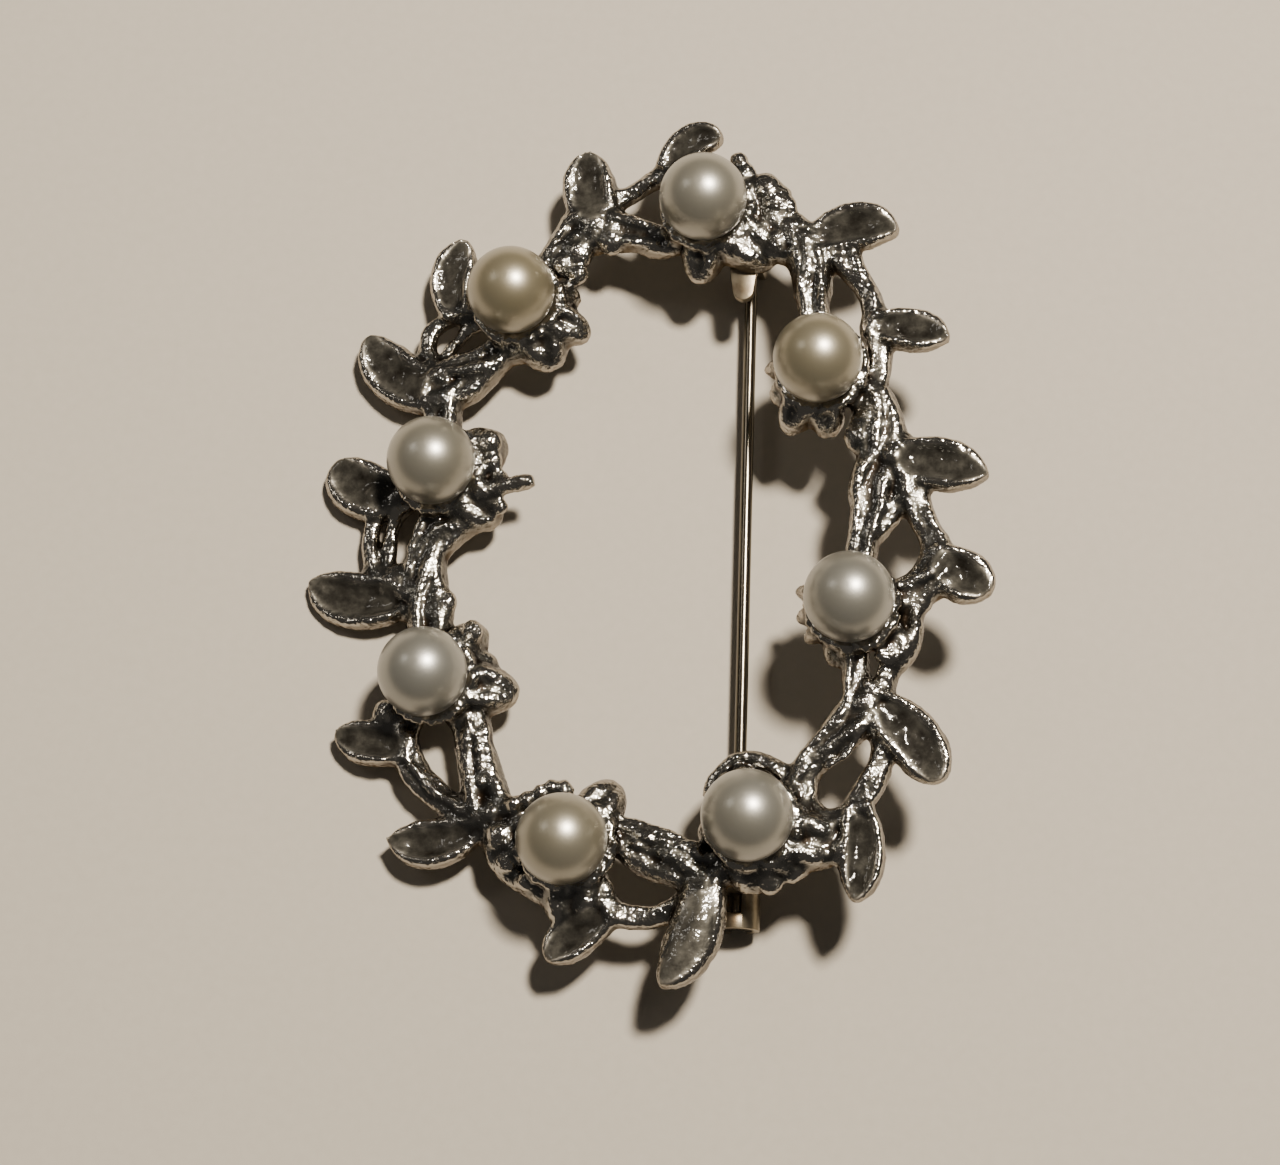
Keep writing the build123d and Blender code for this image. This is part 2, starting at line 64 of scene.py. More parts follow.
# Where each twig passes, in the same shares, and its width there as a share of twig_width
Twig = namedtuple("Twig", "route widths")
TWIGS = [
    Twig([PEARLS[0], (0.315, 0.837), (0.364, 0.766), (0.436, 0.727), (0.464, 0.675), (0.471, 0.623),
          (0.475, 0.575), PEARLS[1]], [1.2, 1.7, 1.8, 1.7, 1.6, 1.3, 1.1, 1.0]),
    Twig([PEARLS[1], (0.641, 0.356), (0.666, 0.272), (0.678, 0.214), (0.650, 0.156), (0.645, 0.098),
          (0.629, 0.028), PEARLS[2]], [1.0, 1.4, 2.0, 1.7, 1.5, 1.4, 1.1, 0.9]),
    Twig([PEARLS[2], (0.608, -0.245), (0.618, -0.324), (0.620, -0.366), (0.560, -0.424), (0.490, -0.482),
          (0.448, -0.535), PEARLS[3]], [1.0, 0.9, 1.0, 1.45, 1.35, 1.1, 0.9, 0.8]),
    Twig([PEARLS[3], (0.286, -0.678), (0.222, -0.718), (0.161, -0.718), (0.089, -0.696), (0.017, -0.675),
          (-0.064, -0.646), PEARLS[4]], [0.9, 1.0, 1.3, 1.6, 1.7, 1.5, 1.3, 1.0]),
    Twig([PEARLS[4], (-0.353, -0.640), (-0.425, -0.585), (-0.462, -0.495), (-0.486, -0.432),
          (-0.501, -0.382), PEARLS[5]], [1.0, 1.5, 1.6, 1.4, 1.4, 1.3, 0.9]),
    Twig([PEARLS[5], (-0.639, -0.127), (-0.648, -0.049), (-0.652, 0.010), (-0.636, 0.071), PEARLS[6]],
         [1.0, 1.8, 1.4, 1.3, 1.2, 1.0]),
    Twig([(-0.650, -0.040), (-0.635, 0.015), (-0.590, 0.062), (-0.520, 0.090), (-0.455, 0.105)],
         [1.2, 1.3, 1.3, 1.1, 1.0]),
    Twig([PEARLS[6], (-0.627, 0.345), (-0.640, 0.400), (-0.564, 0.429), (-0.497, 0.464), (-0.453, 0.500),
          PEARLS[7]], [1.0, 1.4, 1.9, 1.8, 1.5, 1.2, 0.9]),
    Twig([PEARLS[7], (-0.318, 0.701), (-0.269, 0.755), (-0.196, 0.797), (-0.119, 0.780), (-0.043, 0.768),
          (0.030, 0.751), PEARLS[0]], [0.9, 1.1, 1.4, 2.1, 1.6, 1.2, 1.1, 1.0]),
    Twig([(0.436, 0.727), (0.548, 0.707), (0.590, 0.662), (0.632, 0.612), (0.650, 0.568), (0.656, 0.520),
          (0.669, 0.462), (0.658, 0.391), (0.625, 0.340)], [1.2, 1.1, 0.9, 0.8, 0.8, 1.1, 0.9, 0.8, 0.9]),
    Twig([(0.680, 0.225), (0.750, 0.159), (0.776, 0.112), (0.805, 0.056), (0.839, -0.004), (0.823, -0.066),
          (0.753, -0.104), (0.640, -0.130)], [1.2, 1.2, 1.0, 0.9, 1.1, 1.4, 1.4, 1.0]),
    Twig([(0.750, 0.138), (0.708, 0.090), (0.663, 0.044), (0.629, 0.005)], [0.8, 0.8, 0.8, 0.7]),
    Twig([(0.719, -0.122), (0.758, -0.140), (0.770, -0.186), (0.748, -0.235), (0.707, -0.271),
          (0.690, -0.325), (0.690, -0.375)], [0.9, 0.9, 0.8, 0.8, 0.8, 0.8, 0.8]),
    Twig([(0.624, -0.365), (0.672, -0.392), (0.690, -0.448), (0.670, -0.512), (0.630, -0.564),
          (0.583, -0.604), (0.508, -0.617), (0.400, -0.620)], [1.2, 1.0, 0.85, 0.85, 0.9, 0.9, 0.9, 0.9]),
    Twig([(0.455, -0.480), (0.473, -0.535), (0.482, -0.573), (0.516, -0.604)], [0.8, 0.8, 0.7, 0.7]),
    Twig([(0.161, -0.718), (0.170, -0.775), (0.113, -0.806), (0.038, -0.824), (-0.048, -0.815),
          (-0.097, -0.780), (-0.122, -0.741), (-0.150, -0.690)], [1.3, 1.1, 0.8, 0.7, 0.8, 1.0, 1.0, 0.9]),
    Twig([(-0.420, -0.605), (-0.499, -0.597), (-0.586, -0.563), (-0.664, -0.507), (-0.700, -0.450),
          (-0.705, -0.392), (-0.640, -0.340)], [1.0, 0.9, 0.65, 0.6, 0.65, 0.8, 0.8]),
    Twig([(-0.445, -0.590), (-0.519, -0.570), (-0.573, -0.538), (-0.623, -0.498), (-0.656, -0.452),
          (-0.668, -0.404), (-0.640, -0.350)], [0.6, 0.5, 0.45, 0.4, 0.4, 0.5, 0.5]),
    Twig([(-0.690, -0.085), (-0.798, -0.040), (-0.823, 0.007), (-0.824, 0.060), (-0.803, 0.107),
          (-0.769, 0.135), (-0.680, 0.170)], [1.1, 0.8, 0.55, 0.5, 0.55, 0.8, 0.9]),
    Twig([(-0.700, -0.070), (-0.762, -0.028), (-0.766, 0.011), (-0.762, 0.059), (-0.744, 0.102),
          (-0.690, 0.150)], [0.8, 0.5, 0.45, 0.45, 0.45, 0.7]),
    Twig([(-0.650, 0.400), (-0.670, 0.453), (-0.685, 0.503), (-0.670, 0.547), (-0.623, 0.575),
          (-0.562, 0.584), (-0.470, 0.590)], [1.0, 0.8, 0.6, 0.55, 0.5, 0.6, 0.7]),
    Twig([(-0.640, 0.420), (-0.645, 0.458), (-0.617, 0.496), (-0.586, 0.525), (-0.560, 0.549),
          (-0.490, 0.570)], [0.6, 0.4, 0.35, 0.35, 0.35, 0.4]),
    Twig([(-0.196, 0.797), (-0.131, 0.850), (-0.090, 0.869), (-0.042, 0.893), (0.010, 0.915),
          (0.070, 0.905), (0.130, 0.850)], [1.2, 0.8, 0.6, 0.6, 0.8, 0.9, 0.8]),
    Twig([(0.200, -0.560), (0.227, -0.515), (0.266, -0.482), (0.316, -0.470), (0.385, -0.490),
          (0.442, -0.525)], [0.5, 0.5, 0.55, 0.55, 0.55, 0.7]),
    Twig([(-0.400, -0.600), (-0.415, -0.646), (-0.389, -0.698), (-0.346, -0.737), (-0.264, -0.766),
          (-0.192, -0.774)], [1.0, 0.9, 0.8, 0.7, 0.9, 1.0]),
]

# Fine ridges that lie along the wider twigs: where each passes, and its height and radius
Ridge = namedtuple("Ridge", "route height radius")
RIDGES = [
    Ridge([(-0.085, -0.596), (0.045, -0.627), (0.188, -0.671)], 1.05, 0.17),
    Ridge([(-0.090, -0.618), (0.040, -0.649), (0.189, -0.692)], 1.20, 0.16),
    Ridge([(-0.097, -0.642), (0.018, -0.673), (0.161, -0.714)], 1.22, 0.18),
    Ridge([(-0.376, -0.564), (-0.411, -0.512), (-0.435, -0.455), (-0.448, -0.391)], 1.05, 0.24),
    Ridge([(-0.470, -0.410), (-0.456, -0.470), (-0.446, -0.540)], 1.25, 0.17),
    Ridge([(-0.505, -0.580), (-0.598, -0.540), (-0.672, -0.470), (-0.700, -0.405)], 1.00, 0.14),
    Ridge([(-0.665, -0.160), (-0.690, -0.060), (-0.690, 0.020), (-0.660, 0.090)], 1.15, 0.19),
    Ridge([(-0.610, -0.110), (-0.618, -0.030), (-0.600, 0.040), (-0.520, 0.072)], 1.10, 0.19),
    Ridge([(-0.640, 0.350), (-0.590, 0.395), (-0.520, 0.430), (-0.460, 0.470)], 1.15, 0.18),
    Ridge([(-0.330, 0.720), (-0.270, 0.785), (-0.190, 0.830), (-0.110, 0.800), (0.000, 0.780)], 1.25, 0.18),
    Ridge([(-0.290, 0.690), (-0.230, 0.740), (-0.120, 0.745), (0.010, 0.735)], 1.20, 0.18),
    Ridge([(0.320, 0.800), (0.400, 0.745), (0.430, 0.680), (0.440, 0.600)], 1.30, 0.18),
    Ridge([(0.400, 0.770), (0.480, 0.715), (0.500, 0.640), (0.500, 0.570)], 1.25, 0.18),
    Ridge([(0.640, 0.290), (0.620, 0.200), (0.610, 0.120), (0.610, 0.030)], 1.15, 0.18),
    Ridge([(0.720, 0.240), (0.700, 0.170), (0.680, 0.090), (0.650, 0.020)], 1.15, 0.18),
    Ridge([(0.600, -0.250), (0.590, -0.320), (0.580, -0.370), (0.500, -0.440), (0.450, -0.490)], 1.20, 0.18),
    Ridge([(0.650, -0.300), (0.655, -0.370), (0.600, -0.460), (0.530, -0.500)], 1.20, 0.17),
    Ridge([(0.190, -0.690), (0.110, -0.665), (0.030, -0.645)], 1.28, 0.16),
    Ridge([(-0.372, -0.584), (-0.322, -0.573), (-0.268, -0.552), (-0.225, -0.541),
           (-0.180, -0.554)], 1.35, 0.40),
]


def spot(across, up, height=0.0):
    """The point, in flat millimetres, at a place given in shares of the wreath."""
    return np.array([across * half_width, up * half_length, height])


def curve(points, count):
    """Points and directions at even steps of a smooth curve through the given points."""
    given = np.asarray(points, float)
    padded = np.vstack([2 * given[0] - given[1], given, 2 * given[-1] - given[-2]])
    places, ahead = [], []
    for step in np.linspace(0, len(given) - 1, count):
        k = min(int(step), len(given) - 2)
        t = step - k
        a, b, c, d = padded[k:k + 4]
        square, cube = 2 * a - 5 * b + 4 * c - d, 3 * b - a - 3 * c + d
        places.append((2 * b + (c - a) * t + square * t**2 + cube * t**3) / 2)
        ahead.append((c - a + 2 * square * t + 3 * cube * t**2) / 2)
    ahead = np.array(ahead)
    return np.array(places), ahead / np.linalg.norm(ahead, axis=1, keepdims=True)


def mirrored(right):
    """A whole section, from its left foot, made from the right half, which runs from foot to middle."""
    left = [(-out, up) for out, up in reversed(right[:-1])]
    return [left[-1]] + right + left[:-1]


def closed_form(rings):
    """Adds to the casting a closed solid through rings that all have the same number of points."""
    size, first = len(rings[0]), sum(len(block) for block in casting_points)
    for ring in range(len(rings) - 1):
        for corner in range(size):
            a, b = first + ring * size + corner, first + ring * size + (corner + 1) % size
            casting_faces.append((a, b, b + size, a + size))
    casting_faces.append(tuple(range(first + size - 1, first - 1, -1)))
    casting_faces.append(tuple(range(first + (len(rings) - 1) * size, first + len(rings) * size)))
    casting_points.append(np.concatenate(rings))


def along_path(places, ahead, sections):
    """Rings of (out, up) sections standing square to a path."""
    rings = []
    for place, way, section in zip(places, ahead, sections):
        side = np.cross((0, 0, 1), way)
        side /= np.linalg.norm(side)
        rise = np.cross(way, side)
        rings.append(np.array([place + side * out + rise * up for out, up in section]))
    return rings


def rod(places, ahead, radii):
    """A round strand along a path."""
    turns = np.linspace(0, TAU, 11)[:-1]
    closed_form(along_path(places, ahead, [[(r * cos(t), r * sin(t)) for t in turns] for r in radii]))


for twig in TWIGS:
    steps = 4 * len(twig.route)
    places, ahead = curve([spot(*place) for place in twig.route], steps)
    shares = np.interp(np.linspace(0, 1, steps), np.linspace(0, 1, len(twig.widths)), twig.widths)
    shares *= 1 + 0.06 * np.sin(np.linspace(0, len(twig.route) * 2.1, steps) + chance.uniform(0, TAU))
    sections = []
    for share in shares:
        half = share * twig_width / 2
        rim = rim_share * twig_height * min(share, 1.5) ** 0.5
        groove = groove_depth * max(0, share - 0.85)
        sections.append(mirrored([
            (1.10 * half, 0), (1.05 * half, 0.50 * rim), (0.90 * half, 0.86 * rim), (0.70 * half, rim),
            (0.40 * half, rim - 0.7 * groove), (0, rim - groove + 0.08)]))
    closed_form(along_path(places, ahead, sections))
    # Two strands wind over the top, wider apart where the twig is wide
    start, winds = chance.uniform(0, TAU), chance.uniform(0.5, 0.9)
    level = strand_level * twig_height * np.minimum(shares, 1.5)**0.5
    swelling = np.sin(np.linspace(0, 3 * len(twig.route), steps) + start)
    radii = 0.15 + 0.12 * np.minimum(shares, 1.3) + 0.05 * swelling
    for opposite in (0, pi):
        phases = start + opposite + np.linspace(0, winds * TAU, steps)
        reach = np.cos(phases) * shares * twig_width * strand_spread
        across = np.cross((0, 0, 1), ahead) * reach[:, None]
        lift = (level + 0.12 * np.sin(phases))[:, None] * np.array([0, 0, 1])
        rod(places + across + lift, ahead, radii)

for ridge in RIDGES:
    steps = 7 * len(ridge.route)
    places, ahead = curve([spot(*place, ridge.height) for place in ridge.route], steps)
    swell = ridge.radius * (1 + 0.25 * np.sin(np.linspace(0, steps, steps) + chance.uniform(0, TAU)))
    swell[[0, -1]] *= 0.5
    rod(places, ahead, swell)

# Leaves: sixteen small cupped leaves of the same pour, most with a thick raised edge round a
# dished face, and one of them domed. They narrow to the tip and are a little thinner there.
leaf_width, leaf_height = 2.9, 1.15
belly = 0.55  # where along a leaf it is widest
dish_share = 0.46  # depth of a full dish, as a share of the leaf's height

# Root and tip in shares, width as a share of leaf_width, how far the middle bows to the left as
# a share of the length, heights of root and tip as shares of leaf_height, depth of the dish,
# the exponent that shapes the tip, 0.5 for a round one and 0.9 for a pointed one, and the width
# of the root as a share of the leaf's own
Leaf = namedtuple("Leaf", "root tip width bow root_lift tip_lift dish taper neck")
LEAVES = [
    Leaf((0.470, 0.728), (0.722, 0.746), 0.95, 0.15, 0.1, 0.5, 1.0, 0.70, 0.65),
    Leaf((0.650, 0.520), (0.872, 0.486), 0.82, 0.06, 0.1, 0.4, 0.9, 0.75, 0.60),
    Leaf((0.690, 0.205), (0.985, 0.160), 1.00, 0.05, 0.1, 0.5, 1.0, 0.80, 0.62),
    Leaf((0.820, -0.030), (0.988, -0.110), 0.98, 0.05, 0.1, 0.4, 0.9, 0.55, 0.62),
    Leaf((0.650, -0.350), (0.845, -0.530), 1.02, 0.10, 0.1, 0.4, 1.0, 0.50, 0.56),
    Leaf((0.625, -0.580), (0.617, -0.790), 0.82, 0.06, 0.1, 0.3, 1.0, 0.75, 0.62),
    Leaf((0.200, -0.735), (0.085, -0.978), 0.98, 0.10, 0.1, 0.8, -0.6, 0.70, 0.66),
    Leaf((-0.070, -0.815), (-0.245, -0.922), 0.85, -0.05, 0.0, 0.2, 0.9, 0.75, 0.66),
    Leaf((-0.450, -0.630), (-0.720, -0.655), 0.92, 0.09, 0.0, 0.2, 1.1, 0.85, 0.34),
    Leaf((-0.665, -0.440), (-0.893, -0.412), 0.84, 0.05, 0.0, 0.2, 0.9, 0.65, 0.66),
    Leaf((-0.690, -0.085), (-0.997, -0.054), 1.08, 0.14, 0.0, 0.1, 1.1, 0.60, 0.66),
    Leaf((-0.740, 0.155), (-0.930, 0.232), 1.15, 0.20, 0.0, 0.2, 0.8, 0.50, 0.70),
    Leaf((-0.630, 0.390), (-0.858, 0.536), 1.05, 0.15, 0.0, 0.3, 0.9, 0.60, 0.78),
    Leaf((-0.590, 0.580), (-0.566, 0.760), 0.88, 0.16, 0.0, 0.3, 0.9, 0.60, 0.66),
    Leaf((-0.160, 0.790), (-0.196, 0.970), 1.05, 0.12, 0.1, 0.5, 0.9, 0.55, 0.70),
    Leaf((0.038, 0.925), (0.200, 0.986), 0.74, 0.22, 0.2, 0.8, 1.0, 0.55, 0.80),
]

# Middle line, half widths and share of satin of each leaf's face, which the antiquing needs later
leaf_faces = []

for leaf in LEAVES:
    root = spot(*leaf.root, leaf.root_lift * leaf_height)
    tip = spot(*leaf.tip, leaf.tip_lift * leaf_height)
    run = tip - root
    bend = (root + tip) / 2 + 2 * leaf.bow * np.array([-run[1], run[0], 0])
    along = np.sin(np.linspace(0, 1, 26) * pi / 2)[:, None]
    places = (1 - along)**2 * root + 2 * along * (1 - along) * bend + along**2 * tip
    ahead = (1 - along) * (bend - root) + along * (tip - bend)
    ahead /= np.linalg.norm(ahead, axis=1, keepdims=True)
    along = along[:, 0]
    past = np.clip(along / belly - 1, 0, 1) / (1 / belly - 1)
    widths = np.where(along < belly, leaf.neck + (1 - leaf.neck) * np.sin(along / belly * pi / 2),
                      (1 - past**2.3) ** leaf.taper)
    widths = leaf_width * leaf.width * np.maximum(widths, 0.05)
    heights = leaf_height * (1 - 0.28 * along**2)
    dishes = leaf.dish * heights * dish_share * np.sin(pi * np.clip(along * 1.02, 0, 1)) ** 0.6
    wave = chance.uniform(0, TAU)
    sections = []
    for k, share in enumerate(along):
        half, top, dish = widths[k] / 2, heights[k], dishes[k]
        left = top * (1 + 0.10 * sin(wave + 5 * share))
        right = top * (1 + 0.10 * sin(wave + 2 + 6 * share))
        vein = 0.12 * sin(pi * share)
        sections.append([
            (-1.05 * half, 0), (1.05 * half, 0), (1.02 * half, 0.50 * right), (0.94 * half, 0.88 * right),
            (0.84 * half, right), (0.64 * half, right - 0.30 * dish), (0.42 * half, top - 0.80 * dish),
            (0.16 * half, top - dish), (0, top - dish + vein), (-0.16 * half, top - dish),
            (-0.42 * half, top - 0.80 * dish), (-0.64 * half, left - 0.30 * dish), (-0.84 * half, left),
            (-0.94 * half, 0.88 * left), (-1.02 * half, 0.50 * left),
        ])
    closed_form(along_path(places, ahead, sections))
    leaf_faces.append((places[4:23, :2], widths[4:23] / 2, 0.8 if leaf.dish < 0 else 1.0))

# Cups: a low conical cup under each pearl, cast with the rest, its rim beaded and its sides
# grown out into small petals, most of them on the inner side of the wreath.
pearl_radius = 2.5
pearl_height = 3.34  # from the wreath's back to a pearl's middle
petal_width, petal_height = 1.8, 1.5
CUP_RINGS = [(1.9, 0), (2.42, 1.5), (2.40, 1.72), (2.2, 1.80)]  # radius and height
bead_circle, bead_height = 2.5, 1.72
smallest_bead, largest_bead = 0.16, 0.27

# Which pearl, the way the petal points, its reach in pearl radii and its share of petal_width
Petal = namedtuple("Petal", "pearl points reach width")
PETALS = [
    Petal(1, 215, 1.35, 0.9), Petal(1, 262, 1.65, 1.2), Petal(1, 303, 1.50, 0.9), Petal(1, 320, 1.95, 1.5),
    Petal(1, 50, 1.35, 0.9),
    Petal(2, 173, 1.35, 0.5), Petal(2, 205, 1.30, 0.8), Petal(2, 238, 1.60, 1.0), Petal(2, 275, 1.50, 1.0),
    Petal(3, 160, 1.40, 0.5), Petal(3, 188, 1.30, 0.5), Petal(3, 213, 1.30, 0.5), Petal(3, 250, 1.35, 0.9),
    Petal(3, 320, 1.45, 1.0),
    Petal(4, 113, 1.40, 1.2), Petal(4, 190, 1.25, 0.8), Petal(4, 270, 1.50, 1.7), Petal(4, 30, 1.45, 1.2),
    Petal(4, 343, 2.05, 1.6), Petal(4, 320, 1.60, 1.4),
    Petal(5, 116, 1.45, 1.2), Petal(5, 56, 1.75, 1.3), Petal(5, 172, 1.75, 1.5), Petal(5, 275, 1.90, 1.7),
    Petal(6, 52, 1.70, 1.2), Petal(6, 20, 1.50, 0.9), Petal(6, 352, 1.95, 1.4), Petal(6, 318, 1.35, 0.9),
    Petal(7, 30, 1.65, 1.4), Petal(7, 355, 1.40, 1.0), Petal(7, 318, 1.80, 1.4), Petal(7, 280, 1.40, 1.2),
    Petal(8, 10, 1.40, 0.9), Petal(8, 335, 1.80, 1.1), Petal(8, 300, 1.75, 1.4), Petal(8, 265, 1.40, 1.2),
]


def ball(centre, radius, squash=1.0):
    """A lump or bead."""
    rings = []
    for level in np.linspace(-0.96, 0.96, 7):
        out = radius * (1 - level**2) ** 0.5
        height = centre[2] + radius * level * squash
        rings.append(np.array([[centre[0] + out * cos(turn), centre[1] + out * sin(turn), height]
                               for turn in np.linspace(0, TAU, 11)[:-1]]))
    closed_form(rings)


for petal in PETALS:
    centre = spot(*PEARLS[petal.pearl - 1])
    ahead = np.array([cos(radians(petal.points)), sin(radians(petal.points)), 0])
    share = np.linspace(0, 1, 14)
    places = centre + ahead * (pearl_radius * (0.5 + share * (petal.reach - 0.5)))[:, None]
    widths = petal_width * petal.width * (0.80 + 0.25 * np.sin(pi * share) - 0.50 * share**5)
    heights = petal_height * (0.62 + 0.50 * np.sin(pi * share**0.8) - 0.30 * share**8)
    heights = heights * chance.uniform(0.9, 1.1)
    sections = []
    for k in range(len(share)):
        half, top = widths[k] / 2, heights[k]
        dish = 0.26 * sin(pi * share[k])
        sections.append(mirrored([(1.12 * half, 0), (1.02 * half, 0.6 * top), (0.78 * half, 0.95 * top),
                                  (0.50 * half, top), (0, top - dish)]))
    closed_form(along_path(places, [ahead] * len(share), sections))

rim_turns = np.linspace(0, TAU, 33)[:-1]
for place in PEARLS:
    x, y, _ = spot(*place)
    closed_form([np.array([[x + r * cos(t), y + r * sin(t), z] for t in rim_turns]) for r, z in CUP_RINGS])
    turn = 0.0
    while turn < TAU:
        radius = chance.uniform(smallest_bead, largest_bead)
        out = bead_circle + chance.uniform(-0.03, 0.12)
        ball((x + out * cos(turn), y + out * sin(turn), bead_height + chance.uniform(-0.2, 0.08)), radius)
        turn += chance.uniform(1.7, 2.6) * radius / 2.48

# Lumps: knots and grains where twigs, leaves and cups run together, filled with the same metal.
# Across, up, and the height of the top and the radius in millimetres.
LUMPS = [
    (0.319, 0.852, 1.6, 1.05), (0.366, 0.842, 1.5, 0.85), (0.412, 0.773, 1.2, 0.85),
    (0.313, 0.763, 1.4, 0.7), (0.431, 0.728, 1.2, 0.9), (0.673, 0.540, 1.0, 0.8), (0.556, 0.692, 0.9, 0.75),
    (0.654, 0.329, 1.3, 1.05), (0.610, 0.352, 1.2, 0.75), (0.695, 0.282, 1.2, 0.85),
    (0.734, 0.244, 1.0, 0.8), (0.847, -0.037, 0.9, 0.8), (0.720, -0.150, 1.2, 0.75),
    (0.740, -0.214, 1.2, 0.6), (0.707, -0.248, 1.3, 0.55), (0.609, -0.302, 1.1, 0.7),
    (0.685, -0.311, 1.1, 0.65), (0.599, -0.611, 0.9, 0.8), (0.477, -0.649, 1.3, 0.9),
    (0.484, -0.682, 1.0, 0.7), (0.435, -0.670, 1.2, 0.7), (0.206, -0.718, 1.1, 0.7),
    (-0.181, -0.795, 1.2, 0.8), (-0.195, -0.837, 1.0, 0.7), (-0.142, -0.822, 1.0, 0.6),
    (-0.390, -0.641, 1.3, 1.15), (-0.440, -0.608, 1.1, 0.85), (-0.479, -0.629, 0.9, 0.7),
    (-0.616, -0.137, 1.2, 1.15), (-0.670, -0.108, 1.1, 0.85), (-0.585, -0.110, 1.2, 0.7),
    (-0.636, -0.178, 1.1, 0.7), (-0.492, -0.187, 1.9, 0.65), (-0.513, -0.213, 1.7, 0.45),
    (-0.469, 0.259, 1.9, 0.75), (-0.459, 0.214, 1.7, 0.65), (-0.438, 0.173, 1.5, 0.6),
    (-0.433, 0.110, 1.4, 0.5), (-0.612, 0.387, 1.2, 0.8), (-0.333, 0.700, 1.2, 0.7),
    (-0.138, 0.777, 1.3, 0.9), (-0.149, 0.838, 1.1, 0.7), (-0.511, -0.392, 1.2, 0.8),
    (-0.703, -0.402, 0.9, 0.7), (0.327, 0.866, 1.7, 0.84), (0.348, 0.797, 1.5, 1.23),
    (0.361, 0.732, 1.4, 1.12), (0.400, 0.818, 1.3, 0.45), (0.241, 0.935, 1.6, 0.39),
    (0.269, 0.899, 1.6, 0.39), (0.472, 0.737, 1.2, 1.01), (0.539, 0.731, 1.1, 0.73),
    (0.443, 0.340, 1.7, 0.39), (0.477, 0.317, 1.6, 0.39), (0.541, 0.320, 1.6, 0.39),
    (0.635, 0.302, 1.4, 0.84), (0.621, 0.261, 1.3, 1.01), (0.692, 0.254, 1.2, 1.01),
    (0.714, 0.212, 1.5, 0.61), (0.837, -0.037, 1.2, 1.12), (0.789, -0.122, 1.1, 0.78),
    (0.865, -0.079, 1.2, 0.84), (0.685, -0.216, 1.5, 0.39), (0.624, -0.228, 1.6, 0.45),
    (0.685, -0.249, 1.4, 0.39), (0.588, -0.239, 1.6, 0.39), (0.636, -0.355, 1.3, 0.95),
    (0.720, -0.425, 1.1, 0.78), (0.574, -0.679, 1.2, 0.84), (0.647, -0.587, 1.2, 0.45),
    (0.441, -0.718, 1.2, 0.78), (0.381, -0.744, 1.2, 0.78), (0.509, -0.660, 1.1, 0.89),
    (0.192, -0.757, 1.3, 1.12), (0.156, -0.715, 1.3, 1.01), (-0.152, -0.791, 1.3, 0.95),
    (-0.203, -0.770, 1.4, 0.89), (-0.091, -0.768, 1.2, 0.73), (-0.386, -0.650, 1.6, 0.84),
    (-0.414, -0.597, 1.4, 0.73), (-0.364, -0.708, 1.4, 0.56), (-0.305, -0.748, 1.4, 0.56),
    (-0.451, -0.602, 1.2, 0.78), (-0.740, -0.368, 1.2, 0.89), (-0.693, -0.422, 1.1, 0.67),
    (-0.732, -0.061, 1.2, 1.12), (-0.678, -0.086, 1.3, 0.95), (-0.809, 0.143, 1.1, 0.84),
    (-0.769, 0.131, 1.1, 0.67), (-0.640, 0.372, 1.3, 1.01), (-0.696, 0.406, 1.2, 1.01),
    (-0.629, 0.428, 1.3, 0.95), (-0.279, 0.695, 1.4, 0.78), (-0.233, 0.671, 1.3, 0.67),
    (-0.186, 0.792, 1.4, 1.45), (-0.235, 0.724, 1.4, 1.01), (-0.131, 0.752, 1.3, 0.89),
    (-0.042, 0.758, 1.1, 0.78), (0.043, 0.736, 1.1, 0.67), (-0.372, -0.584, 1.4, 0.73),
    (-0.332, -0.611, 1.4, 0.67), (0.250, 0.933, 1.7, 0.50), (0.275, 0.902, 1.7, 0.50),
    (0.293, 0.871, 1.6, 0.50), (0.334, 0.859, 1.8, 0.95), (0.355, 0.825, 1.7, 0.95),
    (0.392, 0.815, 1.5, 0.67),
]
for across, up, top, radius in LUMPS:
    ball(spot(across, up, top - radius * 0.55), radius, 0.65)

# Peg: a plain round stub of the same pour, which points inwards beside the seventh pearl and
# thins a little to its blunt end.
peg_height = 1.3
peg_route = [(-0.500, 0.140), (-0.415, 0.155), (-0.333, 0.169)]
peg_radii = [0.52, 0.48, 0.46, 0.45, 0.45, 0.46, 0.45, 0.34]
peg_places, peg_ahead = curve([spot(*place, peg_height) for place in peg_route], len(peg_radii))
rod(peg_places, peg_ahead, peg_radii)

# Casting: all of these forms are fused into one skin, as the metal ran together in the mould.
# Sharp inner corners are filled a little, the skin is uneven as sand and tumbling leave it, and
# the pearls' seats are pressed clear.
voxel = 0.157
fill_rate, full_fill = 5, 0.35  # corners more than 0.07 deep are filled all the way
seat_radius = pearl_radius + 0.03  # the rest is the glue line
skin, lump_depth, grain_depth = 0.05, 0.055, 0.02  # the plating, and how uneven it is
draft = bpy.data.meshes.new("casting_draft")
draft.from_pydata(np.concatenate(casting_points).tolist(), [], casting_faces)
fused = bpy.data.objects.new("casting_draft", draft)
bpy.context.collection.objects.link(fused)
remesh = fused.modifiers.new("fuse", "REMESH")
remesh.mode = "VOXEL"
remesh.voxel_size = voxel
evaluated = fused.evaluated_get(bpy.context.evaluated_depsgraph_get()).to_mesh()
count = len(evaluated.vertices)
points = np.empty(count * 3)
evaluated.vertices.foreach_get("co", points)
points = points.reshape(-1, 3)
edges = np.empty(len(evaluated.edges) * 2, int)
evaluated.edges.foreach_get("vertices", edges)
edges = edges.reshape(-1, 2)
quads = [tuple(face.vertices) for face in evaluated.polygons]
bpy.data.objects.remove(fused)
corners = np.array(quads)
degree = np.bincount(edges.ravel(), minlength=count)[:, None]


